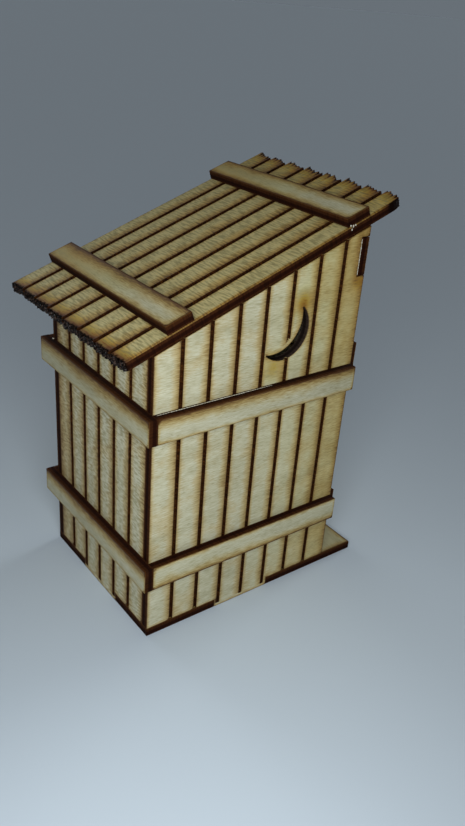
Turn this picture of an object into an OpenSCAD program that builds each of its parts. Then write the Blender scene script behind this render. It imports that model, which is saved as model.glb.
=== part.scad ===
// Plank outhouse for a gaming table, laser-cut from one thickness of plywood.
// Walls stand on a base plate by tabs, battens are glued on, the roof lifts off
// and the door turns on two wire pins. The front faces -Y, the table is z = 0.

/* [Sheet] */
// Thickness of every plywood piece
ply = 2; // [1.6:0.1:2.6]
// Clearance on each side of a tab in its slot or notch
tab_fit = 0.08; // [0.04:0.02:0.2]
// Gap left under the roof along the square-cut end walls
roof_gap = 0.1; // [0.05:0.05:0.4]

/* [Hut] */
// Width over the two side walls
hut_w = 40.6; // [36:0.2:50]
// Depth of the side walls from back to front
hut_d = 49.4; // [44:0.2:60]
// How far the base plate runs out in front as a doorstep
step_d = 9.2; // [5:0.2:16]
// Height of the side walls at the back
back_h = 64; // [60:0.5:76]
// Pitch of the roof, rising to the front
roof_pitch = 20.2; // [15:0.2:26]

/* [Planks] */
// Planks engraved on a side wall
side_planks = 8; // [5:1:10]
// Planks engraved on the back wall and on the front wall
end_planks = 6; // [6:1:8]
// Planks engraved on the roof
roof_planks = 8; // [5:1:10]
// How much narrower the rearmost plank of a side wall is than the others
side_end_short = 0.3; // [0:0.1:1]
// How much narrower the outer planks of the back wall are than the others
back_end_short = 0.4; // [0:0.1:1]
// How much narrower the roof's second plank from each side is, and half of what its outer plank is
roof_end_short = 0.6; // [0:0.1:1]
// Width of an engraved groove
groove_w = 0.8; // [0.5:0.1:1.4]
// Depth of an engraved groove
groove_depth = 0.5; // [0.2:0.1:0.8]

/* [Battens] */
// Width of a wall batten
batten_w = 5.4; // [3.5:0.1:6]
// Underside of the lower battens above the table
lower_batten_z = 13.8; // [10:0.1:20]
// Underside of the upper battens above the table
upper_batten_z = 47.2; // [42:0.1:53]
// How far the side battens stop short of the front edge
side_batten_short = 0.4; // [0:0.1:2]
// How far the front battens stop short of the side faces
front_batten_short = 1; // [0.2:0.1:2]

/* [Tabs] */
// Width of the tab under a side wall and under the back wall
wall_tab_w = 14.6; // [8:0.2:20]
// Width of the tab under each leg of the front wall
leg_tab_w = 3.6; // [2:0.2:4.4]
// Height of the front wall's top tabs
top_tab_h = 7.8; // [4:0.2:10]
// Drop from the top of the front wall to its top tabs
top_tab_drop = 1.4; // [1:0.1:3]

/* [Moon] */
// Radius of the moon's outer curve
moon_r = 6.1; // [4.5:0.1:7]
// Radius of the circle that leaves the crescent
bite_r = 7.1; // [6:0.1:9]
// Distance between the centres of the two circles
bite_shift = 3.8; // [3.2:0.1:4.6]
// Lean of the crescent's opening from straight up towards the back
bite_angle = 47; // [0:1:90]
// Distance of the moon's centre from the front edge
moon_from_front = 19.8; // [14:0.2:28]
// Height of the moon's centre above the table
moon_z = 63.4; // [60:0.2:66]

/* [Roof] */
// Length of the roof panel down the slope
roof_l = 69; // [64:0.5:80]
// Width of the roof panel across the slope
roof_w = 46.2; // [43:0.2:56]
// How far the loose roof lies to the right of the middle
roof_side_shift = 3.1; // [-3:0.1:4]
// How far the loose roof lies up the slope from the middle
roof_up_shift = 2; // [-2:0.1:3]
// Width of a roof batten
roof_batten_w = 5.8; // [4:0.1:7]
// Distance from an end of the roof to its batten
roof_batten_inset = 10; // [6:0.2:14]
// Ragged teeth burnt into the end of each roof plank
teeth_per_plank = 5; // [2:1:5]
// Depth of the deepest tooth
tooth_depth = 0.9; // [0.4:0.1:1.5]
// How much shorter the left side of each roof plank is than its right side at the low end
low_slant = 0.4; // [0:0.1:1.5]
// How much shorter the left side of each roof plank is than its right side at the high end
high_slant = 1.4; // [0:0.1:2]

/* [Door] */
// Planks of the front wall that the doorway takes out
door_planks = 4; // [2:1:4]
// Clear height of the doorway above the base plate
doorway_h = 49.2; // [44:0.2:54]
// Gap round the door where it shuts
door_gap = 0.3; // [0.2:0.05:0.6]
// Diameter of the wire pins that the door turns on
pin_d = 1; // [0.8:0.1:1.2]
// Length of a pin held in the door
pin_grip = 4; // [3:0.5:6]
// Length of the top pin in the wall over the door
pin_reach = 4; // [2:0.5:6]
// Radial clearance of a pin where it turns
pin_play = 0.05; // [0.02:0.01:0.1]
// Radial clearance of a pin where it is held
pin_press = 0.01; // [0.005:0.005:0.02]
// Distance of the pins from the door's hinge edge
pin_edge = 1.2; // [1:0.1:2]
// Spare room that the door's front pieces keep from the wall as it opens
swing_room = 0.6; // [0.5:0.1:1.5]
// Underside of the door's upper ledge above the table
upper_ledge_z = 38; // [34:0.5:41]
// Width of the door's brace, level across
brace_w = 5.4; // [3:0.2:7]
// Height of the door pull
pull_h = 8; // [5:0.5:12]
// How far the door pull stands out
pull_out = 3; // [2:0.2:4]
// Distance from the middle of the pull to the door's free edge
pull_edge = 1.6; // [1.4:0.1:1.8]

/* [Bench] */
// Height of the seat above the base plate
seat_h = 12; // [9:0.5:16]
// Depth of the seat from the back wall
seat_d = 17; // [14:0.5:20]
// How far the seat overhangs its front board
seat_nose = 1; // [0.5:0.1:2]
// Diameter of the hole in the seat
seat_hole_d = 9; // [6:0.5:11]

/* [Hidden] */
$fn = 96;

veneer = "#d8c79c";
batten_tone = "#e0d0a6";
char_tone = "#c9b283";
brass_tone = "#c8a24a";
// Overshoot that lets a cut pass cleanly through a face
cut = 1;

// Hut
half_w = hut_w / 2;
half_d = hut_d / 2;
front_y = -half_d;
inner_w = hut_w - 2 * ply;
rise = tan(roof_pitch);
side_top_front = back_h + rise * hut_d;
front_wall_top = back_h + rise * (hut_d - ply) - roof_gap;
back_wall_top = back_h - roof_gap;
top_tab_z = front_wall_top - top_tab_drop - top_tab_h;
side_pitch = (hut_d + side_end_short) / side_planks;
end_pitch = inner_w / end_planks;
back_pitch = (inner_w + 2 * back_end_short) / end_planks;

// Roof, measured along the slope from where the back face meets its underside
slope_d = hut_d / cos(roof_pitch);
low_overhang = (roof_l - slope_d) / 2 - roof_up_shift;
roof_plank = (roof_w + 6 * roof_end_short) / roof_planks;

// Door
doorway_w = door_planks * end_pitch;
doorway_top = ply + doorway_h;
leg_mid = (doorway_w + inner_w) / 4;
swing_r = sqrt(pow(pin_edge, 2) + pow(ply / 2, 2));
pin_x = -doorway_w / 2 + swing_r + door_gap;
pin_y = front_y + ply / 2;
leaf_x0 = pin_x - pin_edge;
leaf_x1 = doorway_w / 2 - door_gap;
leaf_z0 = ply + door_gap;
leaf_z1 = doorway_top - door_gap;
ledge_inset = pin_edge + ply / 2 + swing_room;
ledge_x0 = leaf_x0 + ledge_inset;
ledge_x1 = leaf_x1 - ledge_inset;
front_batten_end = pin_x - 1.5 * ply - swing_room;
front_batten_start = half_w - front_batten_short;

// Bench
bench_face_y = half_d - ply - seat_d + seat_nose;

// A repeatable number from 0 to 1 for each place along a ragged edge
function ragged(i, seed) = let (s = sin(i * 127.1 + seed * 311.7) * 43.7585) s - floor(s);

// The x of the left side of roof plank i, counted from 0 at the left
function plank_edge(i) = -roof_w / 2 + i * roof_plank - roof_end_short
    * (i == 0 ? 0 : i == 1 ? 2 : i == roof_planks - 1 ? 4 : i == roof_planks ? 6 : 3);

// One ragged end of the roof: a valley and a peak for each tooth, from the left side to the right.
// end_y is the line the longest teeth reach, and inward is the way the teeth are cut.
function ragged_end(end_y, inward, slant, seed) = concat([
    for (i = [0 : roof_planks - 1])
        for (j = [0 : teeth_per_plank - 1])
            let (
                k = i * teeth_per_plank + j,
                left = plank_edge(i),
                wide = plank_edge(i + 1) - left,
                peak = (j + 0.3 + 0.4 * ragged(k, seed + 1)) / teeth_per_plank
            )
            for (p = [
                [j / teeth_per_plank, 0.55 + 0.45 * ragged(k, seed)],
                [peak, 0.4 * ragged(k, seed + 2)]
            ])
                [left + p[0] * wide, end_y + inward * (tooth_depth * p[1] + slant * (1 - p[0]))]
], [[roof_w / 2, end_y + inward * tooth_depth / 2]]);

function reversed(list) = [for (i = [len(list) - 1 : -1 : 0]) list[i]];

// A flat outline in y and z, raised to sheet thickness from x
module upright_yz(x) {
    translate([x, 0, 0])
        rotate([90, 0, 90])
            linear_extrude(ply)
                children();
}

// A flat outline in x and z, raised to sheet thickness from y
module upright_xz(y) {
    translate([0, y + ply, 0])
        rotate([90, 0, 0])
            linear_extrude(ply)
                children();
}

// A box from one corner to the opposite one
module block(low, high) {
    translate(low)
        cube(high - low);
}

// The roof's own frame: x across, -y up the slope from the back face, z out of the underside
module on_roof() {
    translate([roof_side_shift, half_d, back_h])
        rotate([-roof_pitch, 0, 0])
            children();
}

module base_plate() {
    notch = wall_tab_w / 2 + tab_fit;
    slot = leg_tab_w / 2 + tab_fit;
    color(veneer)
        difference() {
            block([-half_w, front_y - step_d, 0], [half_w, half_d, ply]);
            for (side = [-1, 1]) {
                translate([side * half_w, 0, ply / 2])
                    cube([2 * (ply + tab_fit), 2 * notch, ply + cut], center = true);
                translate([side * leg_mid, pin_y, ply / 2])
                    cube([2 * slot, ply + 2 * tab_fit, ply + cut], center = true);
            }
            translate([0, half_d, ply / 2])
                cube([2 * notch, 2 * (ply + tab_fit), ply + cut], center = true);
            translate([pin_x, pin_y, -cut])
                cylinder(r = pin_d / 2 + pin_play, h = ply + 2 * cut);
        }
}

// A crescent with its points towards the back and up, cut square through a side wall
module moon_cut(x) {
    translate([x - cut, front_y + moon_from_front, moon_z])
        rotate([0, 90, 0])
            difference() {
                cylinder(r = moon_r, h = ply + 2 * cut);
                rotate([0, 0, 180 - bite_angle])
                    translate([bite_shift, 0, -cut])
                        cylinder(r = bite_r, h = ply + 4 * cut);
            }
}

// A side wall one sheet thick from x, grooved on its outer face at face_x
module side_wall(x, face_x) {
    difference() {
        upright_yz(x)
            difference() {
                union() {
                    polygon([
                        [front_y, ply], [half_d, ply],
                        [half_d, back_h], [front_y, side_top_front]
                    ]);
                    translate([-wall_tab_w / 2, 0])
                        square([wall_tab_w, ply + cut]);
                }
                translate([front_y - cut, top_tab_z - tab_fit])
                    square([cut + ply + tab_fit, top_tab_h + 2 * tab_fit]);
            }
        for (i = [1 : side_planks - 1])
            translate([face_x, front_y + i * side_pitch, side_top_front / 2])
                cube([2 * groove_depth, groove_w, side_top_front + 2 * cut], center = true);
        moon_cut(x);
    }
}

module left_wall() {
    color(veneer)
        side_wall(-half_w, -half_w);
}

module right_wall() {
    color(veneer)
        side_wall(half_w - ply, half_w);
}

// Upright grooves on a face at face_y, from z0 to z1, count of them a pitch apart about the middle
module end_grooves(face_y, z0, z1, count, pitch) {
    for (i = [1 : count])
        translate([(i - (count + 1) / 2) * pitch, face_y, (z0 + z1) / 2])
            cube([groove_w, 2 * groove_depth, z1 - z0 + 2 * cut], center = true);
}

module back_wall() {
    color(veneer)
        difference() {
            upright_xz(half_d - ply) {
                translate([-inner_w / 2, ply])
                    square([inner_w, back_wall_top - ply]);
                translate([-wall_tab_w / 2, 0])
                    square([wall_tab_w, ply + cut]);
            }
            end_grooves(half_d, 0, back_wall_top, end_planks - 1, back_pitch);
        }
}

module front_wall() {
    color(veneer)
        difference() {
            upright_xz(front_y)
                difference() {
                    union() {
                        translate([-inner_w / 2, ply])
                            square([inner_w, front_wall_top - ply]);
                        translate([-half_w, top_tab_z])
                            square([hut_w, top_tab_h]);
                        for (side = [-1, 1])
                            translate([side * leg_mid - leg_tab_w / 2, 0])
                                square([leg_tab_w, ply + cut]);
                    }
                    translate([-doorway_w / 2, -cut])
                        square([doorway_w, doorway_top + cut]);
                }
            end_grooves(front_y, 0, front_wall_top, end_planks - 1, end_pitch);
            translate([pin_x, pin_y, doorway_top - cut])
                cylinder(r = pin_d / 2 + pin_play, h = pin_reach + cut);
        }
}

// A batten laid along a side wall, outside the face at side * half_w
module side_batten(side, z) {
    color(batten_tone)
        translate([side < 0 ? -half_w - ply : half_w, front_y + side_batten_short, z])
            cube([ply, hut_d - side_batten_short, batten_w]);
}

module left_lower_batten() {
    side_batten(-1, lower_batten_z);
}

module left_upper_batten() {
    side_batten(-1, upper_batten_z);
}

module right_lower_batten() {
    side_batten(1, lower_batten_z);
}

module right_upper_batten() {
    side_batten(1, upper_batten_z);
}

// A batten across the back that also covers the ends of the side battens
module back_batten(z) {
    color(batten_tone)
        translate([-half_w - ply, half_d, z])
            cube([hut_w + 2 * ply, ply, batten_w]);
}

module back_lower_batten() {
    back_batten(lower_batten_z);
}

module back_upper_batten() {
    back_batten(upper_batten_z);
}

// A batten on the front face from x0 to x1
module front_batten(x0, x1, z) {
    color(batten_tone)
        translate([x0, front_y - ply, z])
            cube([x1 - x0, ply, batten_w]);
}

module front_left_batten() {
    front_batten(-front_batten_start, front_batten_end, lower_batten_z);
}

module front_right_batten() {
    front_batten(-front_batten_end, front_batten_start, lower_batten_z);
}

module front_header_batten() {
    front_batten(-front_batten_start, front_batten_start, doorway_top);
}

module bench_front() {
    color(veneer)
        upright_xz(bench_face_y)
            translate([-inner_w / 2, ply])
                square([inner_w, seat_h - ply]);
}

module bench_seat() {
    color(veneer)
        translate([0, half_d - ply - seat_d / 2, seat_h])
            difference() {
                translate([-inner_w / 2, -seat_d / 2, 0])
                    cube([inner_w, seat_d, ply]);
                translate([0, 0, -cut])
                    cylinder(d = seat_hole_d, h = ply + 2 * cut);
            }
}

// The hole for one pin, running in from an end of the door
module leaf_pin_hole(z) {
    translate([pin_x, pin_y, z])
        cylinder(r = pin_d / 2 + pin_press, h = pin_grip + cut);
}

module door_leaf() {
    color(veneer)
        difference() {
            block([leaf_x0, front_y, leaf_z0], [leaf_x1, front_y + ply, leaf_z1]);
            end_grooves(front_y, leaf_z0, leaf_z1, door_planks - 1, end_pitch);
            leaf_pin_hole(leaf_z0 - cut);
            leaf_pin_hole(leaf_z1 - pin_grip);
        }
}

// A cross board on the face of the door
module door_ledge(z) {
    color(batten_tone)
        block([ledge_x0, front_y - ply, z], [ledge_x1, front_y, z + batten_w]);
}

module door_lower_ledge() {
    door_ledge(lower_batten_z);
}

module door_upper_ledge() {
    door_ledge(upper_ledge_z);
}

module door_brace() {
    foot_z = lower_batten_z + batten_w;
    color(batten_tone)
        upright_xz(front_y - ply)
            polygon([
                [ledge_x0, foot_z], [ledge_x0 + brace_w, foot_z],
                [ledge_x1, upper_ledge_z], [ledge_x1 - brace_w, upper_ledge_z]
            ]);
}

module door_pull() {
    mid_z = (lower_batten_z + batten_w + upper_ledge_z) / 2;
    color(char_tone)
        translate([leaf_x1 - pull_edge, front_y - pull_out / 2, mid_z])
            cube([ply, pull_out, pull_h], center = true);
}

module door_top_pin() {
    color(brass_tone)
        translate([pin_x, pin_y, leaf_z1 - pin_grip])
            cylinder(d = pin_d, h = pin_grip + pin_reach);
}

module door_bottom_pin() {
    color(brass_tone)
        translate([pin_x, pin_y, door_gap])
            cylinder(d = pin_d, h = leaf_z0 + pin_grip - door_gap);
}

module roof_panel() {
    low_end = ragged_end(low_overhang, -1, low_slant, 3);
    high_end = ragged_end(low_overhang - roof_l, 1, high_slant, 8);
    color(veneer)
        on_roof()
            difference() {
                linear_extrude(ply)
                    polygon(concat(high_end, reversed(low_end)));
                for (i = [1 : roof_planks - 1])
                    translate([plank_edge(i), low_overhang - roof_l / 2, ply])
                        cube([groove_w, roof_l + 2 * cut, 2 * groove_depth], center = true);
            }
}

// A batten across the roof with its lower edge at y in the roof's frame
module roof_batten(y) {
    color(batten_tone)
        on_roof()
            translate([-roof_w / 2, y, ply])
                cube([roof_w, roof_batten_w, ply]);
}

module roof_low_batten() {
    roof_batten(low_overhang - roof_batten_inset - roof_batten_w);
}

module roof_high_batten() {
    roof_batten(low_overhang - roof_l + roof_batten_inset);
}

base_plate();
left_wall();
right_wall();
back_wall();
front_wall();
left_lower_batten();
left_upper_batten();
right_lower_batten();
right_upper_batten();
back_lower_batten();
back_upper_batten();
front_left_batten();
front_right_batten();
front_header_batten();
bench_front();
bench_seat();
door_leaf();
door_lower_ledge();
door_upper_ledge();
door_brace();
door_pull();
door_top_pin();
door_bottom_pin();
roof_panel();
roof_low_batten();
roof_high_batten();
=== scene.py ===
"""A plank outhouse of laser-cut plywood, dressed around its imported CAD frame.

Every board is one piece of 2 mm plywood: a grid over its outline, with the plank grooves sunk into its show face,
raised to the sheet's thickness and burnt along every cut. Sizes are in millimetres until a mesh is made.
"""

from __future__ import annotations

import logging
import math
from dataclasses import dataclass, field, replace
from enum import Enum, IntEnum
from typing import NamedTuple

import bpy
import numpy as np
from bpy.types import ID, Material, Node, NodeSocket, NodeTree, Object
from mathutils import Matrix, Vector

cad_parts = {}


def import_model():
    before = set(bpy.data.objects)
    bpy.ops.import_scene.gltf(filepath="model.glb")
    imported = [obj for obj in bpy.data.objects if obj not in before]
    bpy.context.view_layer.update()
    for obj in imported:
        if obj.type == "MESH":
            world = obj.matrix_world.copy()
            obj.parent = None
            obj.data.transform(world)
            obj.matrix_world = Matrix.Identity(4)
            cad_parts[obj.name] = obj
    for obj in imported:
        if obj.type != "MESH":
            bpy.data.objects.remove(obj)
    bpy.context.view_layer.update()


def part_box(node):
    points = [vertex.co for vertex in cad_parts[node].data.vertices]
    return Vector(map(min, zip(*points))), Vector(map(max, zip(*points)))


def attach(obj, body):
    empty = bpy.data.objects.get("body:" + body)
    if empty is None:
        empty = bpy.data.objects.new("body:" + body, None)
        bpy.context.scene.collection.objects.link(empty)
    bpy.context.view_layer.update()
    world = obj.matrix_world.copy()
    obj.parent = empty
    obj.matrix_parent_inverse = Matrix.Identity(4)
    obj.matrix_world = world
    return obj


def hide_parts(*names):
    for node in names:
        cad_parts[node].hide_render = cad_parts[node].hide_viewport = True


MM = 0.001
PLY = 2.0
# Widest gap between the grid lines of a board
STEP = 0.8
FAR_OFF = 1e3
TINY = 1e-6
# Most entries in a table of points and edges
TABLE = 2_000_000
log = logging.getLogger("outhouse")

Array = np.ndarray
Pair = tuple[float, float]
Three = tuple[float, float, float]
Four = tuple[float, float, float, float]
# Places in rising order, and the value at each
Curve = tuple[tuple[float, ...], tuple[float, ...]]
# Places along a colour ramp with their colours, its two ends first
Stops = tuple[tuple[float, str], ...]


def linear(code: str) -> Four:
    """Turns an sRGB hex colour to the linear values that shaders take.

    Args:
        code: colour such as "#cfc3a0".

    Returns:
        Red, green, blue and an alpha of 1.
    """
    values = np.array([int(code[k:k + 2], 16) for k in (1, 3, 5)]) / 255.0
    flat = np.where(values <= 0.04045, values / 12.92, ((values + 0.055) / 1.055) ** 2.4)
    return (*flat.tolist(), 1.0)


def add(tree: NodeTree, kind: str, feeds: dict | tuple = (), ramp: Stops = (), **settings: str | bool) -> Node:
    """Adds one node with its settings and what feeds it.

    Args:
        tree: node tree that gets the node.
        kind: the node's type name without the ShaderNode that all begin with.
        feeds: plain values, outputs, or nodes for their first output; by input name, or in the order of the inputs
            that the node's settings leave in use.
        ramp: stops of a colour ramp.
        settings: the node's properties.

    Returns:
        The node.
    """
    made = tree.nodes.new(f"ShaderNode{kind}")
    for key, value in settings.items():
        setattr(made, key, value)
    for number, (place, code) in enumerate(ramp):
        stops = made.color_ramp.elements
        stop = stops[number] if number < 2 else stops.new(place)
        stop.position, stop.color = place, linear(code)
    if isinstance(feeds, tuple):
        feeds = dict(zip((number for number, socket in enumerate(made.inputs) if socket.enabled), feeds))
    for key, value in feeds.items():
        if isinstance(value, Node):
            value = next(output for output in value.outputs if output.enabled)
        if isinstance(value, NodeSocket):
            tree.links.new(value, made.inputs[key])
        else:
            made.inputs[key].default_value = value
    return made


@dataclass(frozen=True)
class Finish:
    """What every finish has: a name, and a shader that its own nodes feed."""

    name: str
    roughness: float
    ior: float = 1.5
    gloss: float = 0.5

    def paint(self, tree: NodeTree) -> dict:
        """Adds the finish's own nodes and gives what they feed into the shader."""
        raise NotImplementedError

    def material(self) -> Material:
        """Makes the material: the finish's own nodes, the shader and the output.

        Returns:
            The material.
        """
        made = bpy.data.materials.new(self.name)
        made.use_nodes = True
        tree = made.node_tree
        tree.nodes.clear()
        shader = add(tree, "BsdfPrincipled", {
            "Roughness": self.roughness, "IOR": self.ior, "Specular IOR Level": self.gloss, **self.paint(tree)})
        add(tree, "OutputMaterial", {"Surface": shader})
        return made


@dataclass(frozen=True)
class BirchFace(Finish):
    """Rotary-cut birch veneer, sanded and left raw.

    It gives the eye a matt pale straw with fine fibre streaks and slow bands of warmer wood. Over it lie the
    laser's smoke, a stain that darkens towards every cut and wicks along the fibres, and the amber of wood that was
    toasted, which ends in soot. Some boards also lay painted shade through the smoke and the toast.
    """

    name: str = "birch_plywood_face"
    roughness: float = 0.62
    ior: float = 1.46
    # Dull, straw and cream wood
    tones: tuple[str, str, str] = ("#a09976", "#b8b292", "#c9c5a9")
    stain: Stops = ((0.0, "#ffffff"), (1.0, "#8f6b40"), (0.25, "#fbf0df"), (0.5, "#efdbb8"), (0.75, "#d2b486"),
                    (0.92, "#ac8b5c"))
    toast: Stops = ((0.0, "#ffffff"), (1.0, "#a86e28"), (0.2, "#fffbde"), (0.45, "#efdca6"), (0.65, "#e5c86a"),
                    (0.85, "#cda440"))
    brown: str = "#3a1d0c"
    soot: str = "#0f0805"
    soot_gloss: float = 0.02
    # Lengths along the fibres and across them. Birch fibres are about 0.05 mm wide; streaks are drawn at 0.2 mm
    # so that they show
    fibre: Pair = (1.9, 0.2)
    band: Pair = (17.0, 3.4)
    fleck: Pair = (1.1, 0.24)
    patch: Pair = (6.0, 6.0)
    # Half of the noise's range that goes from dull to cream: less is more contrast
    evenness: float = 0.15
    banding: float = 0.42
    harshness: float = 0.55
    # Each range is a span, and what it becomes at its two ends
    flecking: Four = (0.62, 0.78, 0.0, 0.45)
    unevenness: Four = (0.3, 0.7, 0.75, 1.3)
    under_smoke: Four = (0.5, 0.9, 1.0, 0.0)
    sooting: Four = (0.75, 1.35, 0.0, 1.0)
    # How far fibres draw the smoke along, as a factor and a shift of their noise
    wicking: Pair = (1.6, -0.8)
    toast_pull: float = 0.8
    soot_pull: float = 0.5
    reach: float = 2.4
    line: float = 0.2
    line_strength: float = 0.85
    strength: float = 0.5
    relief: float = 0.03

    def paint(self, tree: NodeTree) -> dict:
        """Works from the board's own millimetre coordinates, smoke and burns.

        Args:
            tree: the material's node tree.

        Returns:
            What feeds the shader.
        """
        soft, rgba = {"interpolation_type": "SMOOTHSTEP"}, {"data_type": "RGBA"}
        board, cut, smoke, burn = (add(tree, "Attribute", attribute_name=name).outputs[kind] for name, kind in (
            ("sheet_mm", "Vector"), ("cut_mm", "Fac"), ("smoke", "Fac"), ("burn", "Fac")))
        noises = []
        for (long, wide), detail in ((self.fibre, 2.0), (self.band, 3.0), (self.fleck, 1.0), (self.patch, 2.0)):
            place = add(tree, "Mapping", {"Vector": board, "Scale": (1.0 / long, 1.0 / wide, 0.0)})
            noises.append(add(tree, "TexNoise", {
                "Vector": place, "Scale": 1.0, "Detail": detail, "Roughness": self.harshness}))
        fibre, band, fleck, patch = noises
        dull, straw, cream = self.tones
        tone = add(tree, "Mix", (self.banding, fibre, band))
        wood = add(tree, "ValToRGB", (tone,), ramp=(
            (0.5 - self.evenness, dull), (0.5 + self.evenness, cream), (0.49, straw)))
        dash = add(tree, "MapRange", (fleck, *self.flecking), **soft)
        stained = add(tree, "Mix", (dash, wood, linear(dull)), blend_type="MULTIPLY", **rgba)

        wick = add(tree, "Math", (fibre, *self.wicking), operation="MULTIPLY_ADD")
        uneven = add(tree, "MapRange", (patch, *self.unevenness))
        spread = add(tree, "Math", (smoke, uneven, wick), operation="MULTIPLY_ADD")
        cloud = add(tree, "MapRange", (spread, 0.0, self.reach, 1.0, 0.0))
        grainy = add(tree, "Math", (wick, self.toast_pull, 1.0), operation="MULTIPLY_ADD")
        toasted = add(tree, "Math", (burn, grainy), operation="MULTIPLY")
        for stops, amount in ((self.stain, cloud), (self.toast, toasted)):
            tint = add(tree, "ValToRGB", (amount,), ramp=stops)
            stained = add(tree, "Mix", (1.0, stained, tint), blend_type="MULTIPLY", **rgba)

        seared = add(tree, "MapRange", (cut, 0.0, self.line, self.line_strength, 0.0), **soft)
        heavy = add(tree, "MapRange", (smoke, *self.under_smoke))
        outline = add(tree, "Math", (seared, heavy), operation="MULTIPLY")
        browned = add(tree, "Mix", (outline, stained, linear(self.brown)), **rgba)
        scorch = add(tree, "Math", (wick, self.soot_pull, burn), operation="MULTIPLY_ADD")
        burnt = add(tree, "MapRange", (scorch, *self.sooting), **soft)
        colour = add(tree, "Mix", (burnt, browned, linear(self.soot)), **rgba)
        matt = add(tree, "Math", (burnt, outline), operation="MAXIMUM")
        shine = add(tree, "Mix", (matt, self.gloss, self.soot_gloss))
        bump = add(tree, "Bump", {"Height": fibre, "Strength": self.strength, "Distance": self.relief * MM})
        return {"Base Color": colour, "Specular IOR Level": shine, "Normal": bump}


@dataclass(frozen=True)
class CharredCut(Finish):
    """The burnt edge that a laser leaves on plywood.

    It gives the eye a matt, nearly black brown wall with fine ridges where the beam passed: outer veneers that are
    singed brown, palest where the beam went in, and a darker core that shows its end grain. It is black where the
    board burnt.
    """

    name: str = "charred_plywood_edge"
    roughness: float = 0.8
    gloss: float = 0.04
    soot: str = "#100502"
    singed: str = "#5e3b18"
    veneer: str = "#3a1e0c"
    core: str = "#230c04"
    # Beam ridges are about 0.1 mm apart; drawn at 0.35 mm so that they show
    ridge: float = 0.35
    ridge_l: float = 5.0
    blotch: float = 3.0
    # How far the layers wander, as a share of the sheet
    wander: float = 0.05
    ridge_soot: Four = (0.4, 0.7, 0.0, 0.6)
    sooting: Four = (0.8, 1.2, 0.0, 1.0)
    strength: float = 0.35
    relief: float = 0.05

    def paint(self, tree: NodeTree) -> dict:
        """Works from the depth through the sheet, ridges across it and the board's burns.

        Args:
            tree: the material's node tree.

        Returns:
            What feeds the shader.
        """
        board, burn = (add(tree, "Attribute", attribute_name=name).outputs[kind] for name, kind in (
            ("sheet_mm", "Vector"), ("burn", "Fac")))
        place = add(tree, "Mapping", {
            "Vector": board, "Scale": (1.0 / self.ridge, 1.0 / self.ridge, 1.0 / self.ridge_l)})
        ridges = add(tree, "TexNoise", {"Vector": place, "Scale": 1.0, "Detail": 2.0})
        wide = add(tree, "TexNoise", {"Vector": board, "Scale": 1.0 / self.blotch, "Detail": 2.0})
        depth = add(tree, "SeparateXYZ", (board,)).outputs["Z"]
        through = add(tree, "Math", (depth, 1.0 / PLY, -0.02), operation="MULTIPLY_ADD")
        wander = add(tree, "Math", (wide, self.wander, through), operation="MULTIPLY_ADD")
        layers = add(tree, "ValToRGB", (wander,), ramp=(
            (0.0, self.singed), (1.0, self.veneer), (0.18, self.veneer), (0.40, self.veneer), (0.47, self.core),
            (0.80, self.core), (0.87, self.veneer)))
        dark = add(tree, "MapRange", (ridges, *self.ridge_soot))
        burnt = add(tree, "MapRange", (burn, *self.sooting), interpolation_type="SMOOTHSTEP")
        black = add(tree, "Math", (dark, burnt), operation="MAXIMUM")
        colour = add(tree, "Mix", (black, layers, linear(self.soot)), data_type="RGBA")
        bump = add(tree, "Bump", {"Height": ridges, "Strength": self.strength, "Distance": self.relief * MM})
        return {"Base Color": colour, "Normal": bump}


class Ground(Enum):
    """Where a pattern lies: on a board's own millimetres, or in the object's metres."""

    BOARD = 1.0
    OBJECT = MM


@dataclass(frozen=True)
class Mottled(Finish):
    """What finishes of a single pattern share: a noise that runs through a colour ramp and raises the surface."""

    ramp: Stops = ()
    # Lengths of the noise's patches: along the fibres, across them and through the sheet, or along X, Y and Z
    patch: Three = (1.0, 1.0, 1.0)
    ground: Ground = Ground.BOARD
    strength: float = 0.0
    relief: float = 0.0
    # Roughness at the noise's two ends, where it isn't even
    rough_span: Pair | None = None

    def paint(self, tree: NodeTree) -> dict:
        """Lays the noise and feeds colour, relief and uneven roughness from it.

        Args:
            tree: the material's node tree.

        Returns:
            What feeds the shader.
        """
        if self.ground is Ground.BOARD:
            spot = add(tree, "Attribute", attribute_name="sheet_mm").outputs["Vector"]
        else:
            spot = add(tree, "TexCoord").outputs["Object"]
        scale = tuple(1.0 / (length * self.ground.value) for length in self.patch)
        place = add(tree, "Mapping", {"Vector": spot, "Scale": scale})
        noise = add(tree, "TexNoise", {"Vector": place, "Scale": 1.0, "Detail": 2.0})
        feeds = {"Base Color": add(tree, "ValToRGB", (noise,), ramp=self.ramp)}
        if self.relief:
            feeds["Normal"] = add(tree, "Bump", {
                "Height": noise, "Strength": self.strength, "Distance": self.relief * MM})
        if self.rough_span:
            feeds["Roughness"] = add(tree, "MapRange", (noise, 0.0, 1.0, *self.rough_span))
        return feeds


@dataclass(frozen=True)
class CharcoalCrust(Mottled):
    """The brittle charcoal left where plank ends burnt away.

    It gives the eye near-black grains with a slight gloss, and grey on some of them: partly ash, partly painted
    highlights.
    """

    name: str = "charcoal_crust"
    roughness: float = 0.34
    gloss: float = 0.14
    # The grey end is partly ash and partly painted highlight
    ramp: Stops = ((0.5, "#0b0503"), (0.7, "#46352c"))
    patch: Three = (0.4, 0.4, 0.4)
    strength: float = 1.0
    relief: float = 0.2


@dataclass(frozen=True)
class EngravedGroove(Mottled):
    """The floor and sides of a laser-engraved line.

    It gives the eye a dark brown channel with uneven lighter strokes where the beam stepped across the fibres.
    """

    name: str = "engraved_plywood_groove"
    roughness: float = 0.8
    gloss: float = 0.04
    ramp: Stops = ((0.32, "#1a0a03"), (0.78, "#52300d"), (0.55, "#311807"))
    patch: Three = (1.4, 0.35, 1.0)
    strength: float = 0.7
    relief: float = 0.06


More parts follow.
